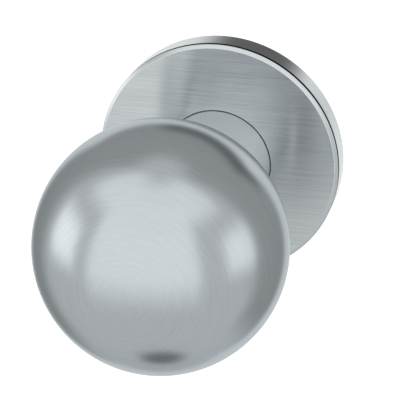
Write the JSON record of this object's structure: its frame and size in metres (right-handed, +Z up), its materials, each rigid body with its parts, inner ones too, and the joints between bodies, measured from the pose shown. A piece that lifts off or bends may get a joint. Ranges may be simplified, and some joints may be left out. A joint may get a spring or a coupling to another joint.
{
  "type": "door knob",
  "caption": "Ball door knob on a round rose with sprung turning hub, square spindle and bolt-through lugs, satin stainless steel.",
  "frame": {"origin": "on the spindle axis in the plane of the door's face, midway between the two support lugs", "axes": "-Y out of the door along the spindle towards the knob, +Z up, +X to the right seen from in front of the door"},
  "size_m": [0.055, 0.1225, 0.055],
  "materials": {
    "brushed_rose": "satin stainless, straight horizontal grain, bevel polished",
    "satin_ball": "satin stainless, very fine turned grain",
    "satin_neck": "satin stainless, turned",
    "die_cast": "zinc die-cast, as cast",
    "sleeve_brass": "turned brass",
    "spring_steel": "drawn spring steel",
    "bearing_plastic": "natural acetal",
    "buffer_rubber": "moulded rubber",
    "zinc_plated_steel": "bright zinc plated",
    "turned_steel": "machined",
    "black_oxide": "black oxide"
  },
  "bodies": {
    "rose_base": {"sub_rose": "die_cast", "threaded_sleeve_left": "sleeve_brass", "threaded_sleeve_right": "sleeve_brass", "cover_snap_ring": "spring_steel", "neck_bush": "bearing_plastic", "stop_buffer_left": "buffer_rubber", "stop_buffer_right": "buffer_rubber", "return_spring": "spring_steel", "cassette_plate": "zinc_plated_steel", "cassette_screws": "zinc_plated_steel", "wood_screws": "zinc_plated_steel"},
    "knob": {"knob_front_shell": "satin_ball", "knob_rear_shell": "satin_ball", "knob_neck": "satin_neck", "spindle_hub": "turned_steel", "grub_screw": "black_oxide", "spindle": "zinc_plated_steel", "driver_plate": "zinc_plated_steel", "spring_washer": "spring_steel", "retaining_ring": "black_oxide"},
    "cover": {"rose_cover": "brushed_rose"}
  },
  "joints": [
    {"name": "knob_turn", "type": "hinge", "parent": "rose_base", "child": "knob", "pos_m": [0, 0, 0], "axis": [0, -1, 0], "range_deg": [-45, 45], "stiffness_Nm_per_rad": 0.25, "deforming": ["return_spring"]},
    {"name": "cover_slide", "type": "slide", "parent": "rose_base", "child": "cover", "axis": [0, -1, 0], "range_m": [0, 0.018]}
  ]
}
